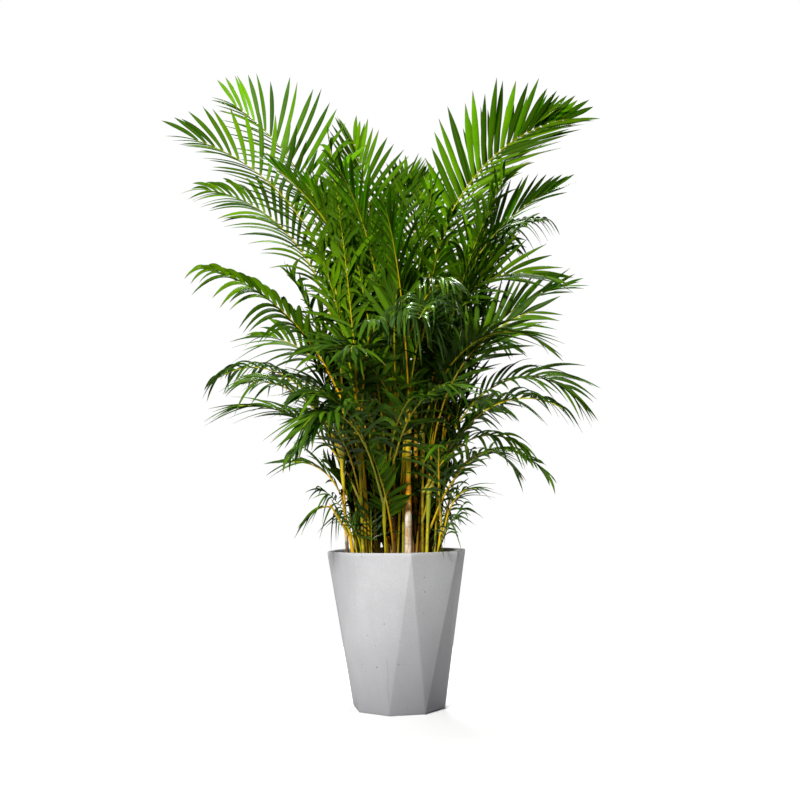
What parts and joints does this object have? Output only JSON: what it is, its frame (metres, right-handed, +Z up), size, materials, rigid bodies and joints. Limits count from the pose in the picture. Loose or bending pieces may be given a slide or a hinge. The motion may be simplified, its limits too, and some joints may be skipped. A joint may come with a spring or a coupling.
{
  "type": "potted palm",
  "caption": "Clumping feather palm with arching fronds and ringed canes in a tall faceted concrete planter.",
  "frame": {"origin": "centre of the flat octagonal foot of the planter, on the surface it stands on", "axes": "+Z up along the canes, -Y towards the front of the plant, +X to the right seen from the front"},
  "size_m": [1.5879, 1.3087, 2.2822],
  "materials": {
    "concrete": "smooth cast concrete, matte",
    "soil": "dark crumbly potting soil, matte",
    "cane": "smooth ringed cane, satin",
    "shoot": "young green leaf and stem, satin",
    "frond": "glossy green leaflets on a yellow-green stalk"
  },
  "bodies": {
    "root": {"pot": "concrete", "soil": "soil", "cane_01": "cane", "cane_02": "cane", "cane_03": "cane", "cane_04": "cane", "cane_06": "cane", "cane_07": "cane", "cane_08": "cane", "cane_09": "cane", "cane_10": "cane", "cane_11": "cane", "cane_12": "cane", "cane_13": "cane", "cane_17": "cane", "frond_01": "frond", "frond_02": "frond", "frond_03": "frond", "frond_04": "frond", "frond_05": "frond", "frond_06": "frond", "frond_09": "frond", "frond_10": "frond", "frond_11": "frond", "frond_12": "frond", "frond_13": "frond", "frond_14": "frond", "frond_15": "frond", "frond_18": "frond", "frond_19": "frond", "frond_20": "frond", "frond_21": "frond", "frond_22": "frond", "frond_27": "frond", "frond_28": "frond", "frond_29": "frond", "frond_30": "frond", "frond_31": "frond", "frond_32": "frond", "frond_33": "frond", "frond_34": "frond", "frond_35": "frond", "frond_36": "frond", "frond_37": "frond", "frond_39": "frond", "frond_40": "frond", "frond_43": "frond", "frond_44": "frond", "frond_47": "frond", "frond_50": "frond", "shoot_05": "shoot", "shoot_14": "shoot", "shoot_15": "shoot", "shoot_16": "shoot", "shoot_18": "shoot"}
  },
  "joints": []
}
